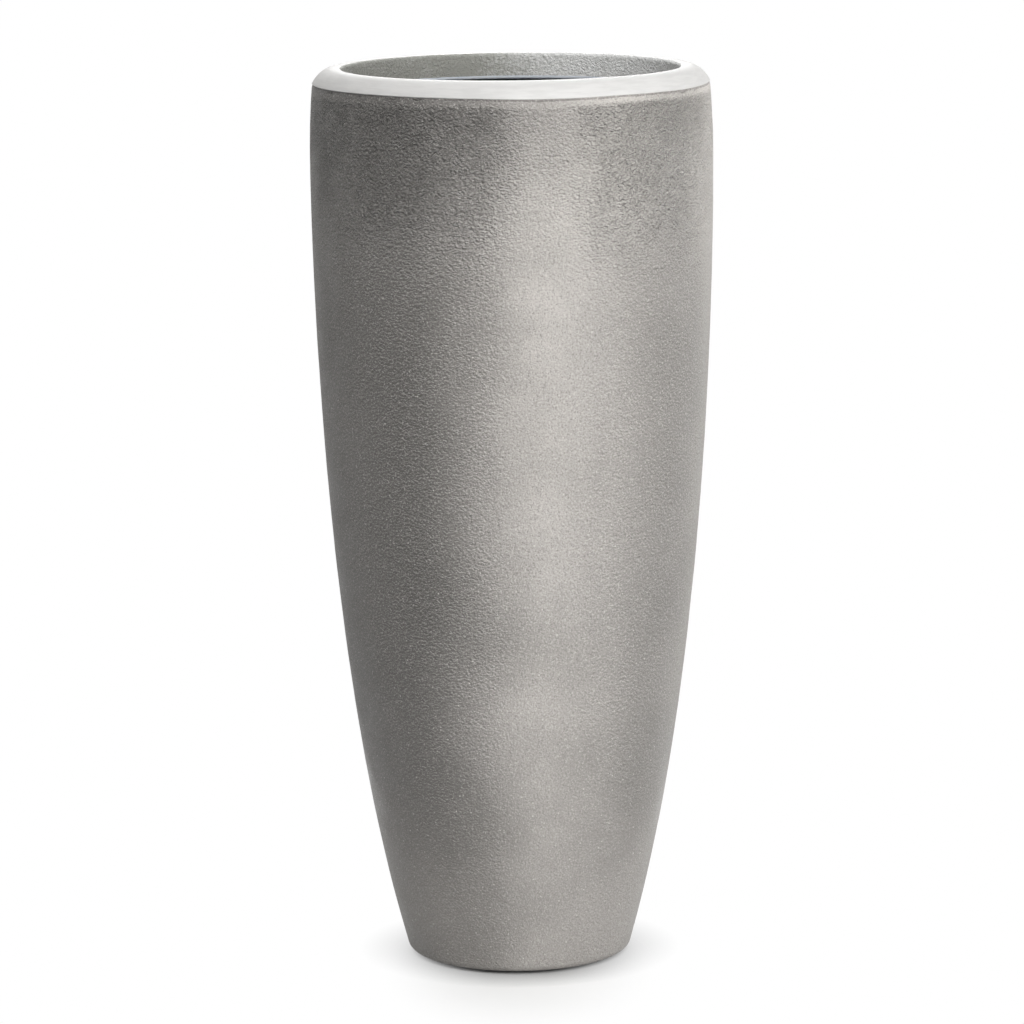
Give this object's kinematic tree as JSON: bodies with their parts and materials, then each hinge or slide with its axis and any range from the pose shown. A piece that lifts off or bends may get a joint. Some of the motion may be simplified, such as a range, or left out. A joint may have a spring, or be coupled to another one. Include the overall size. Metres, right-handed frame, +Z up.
{
  "type": "tall fiberglass planter",
  "caption": "Tall round floor planter that tapers to its base, with a stone-effect wall, a smooth rounded rim, a lift-out planting shelf and a drain plug.",
  "frame": {"origin": "on the floor, under the middle of the base; the undersides of the pads are at z = 0", "axes": "+Z up along the planter's axis; the pictured front faces -Y, and the two finger holes of the shelf are on the X axis"},
  "size_m": [0.357, 0.357, 0.8],
  "materials": {
    "stone_coat": "gritty stone-effect coat on glass-fibre composite",
    "smooth_coat": "smooth satin gel coat",
    "laminate": "bare glass-fibre laminate",
    "shelf_plastic": "fine-textured moulded plastic",
    "black_rubber": "matt moulded rubber"
  },
  "bodies": {
    "planter": {"body_shell": "stone_coat", "rim_ring": "smooth_coat", "shelf_cleat_1": "laminate", "shelf_cleat_2": "laminate", "shelf_cleat_3": "laminate", "foot_pad_1": "black_rubber", "foot_pad_2": "black_rubber", "foot_pad_3": "black_rubber", "foot_pad_4": "black_rubber"},
    "shelf": {"planting_shelf": "shelf_plastic"},
    "plug": {"drain_plug": "black_rubber"}
  },
  "joints": [
    {"name": "shelf_lift", "type": "slide", "parent": "planter", "child": "shelf", "axis": [0, 0, 1], "range_m": [0, 0.57]},
    {"name": "plug_pull", "type": "slide", "parent": "planter", "child": "plug", "axis": [0, 0, 1], "range_m": [0, 0.06]}
  ]
}
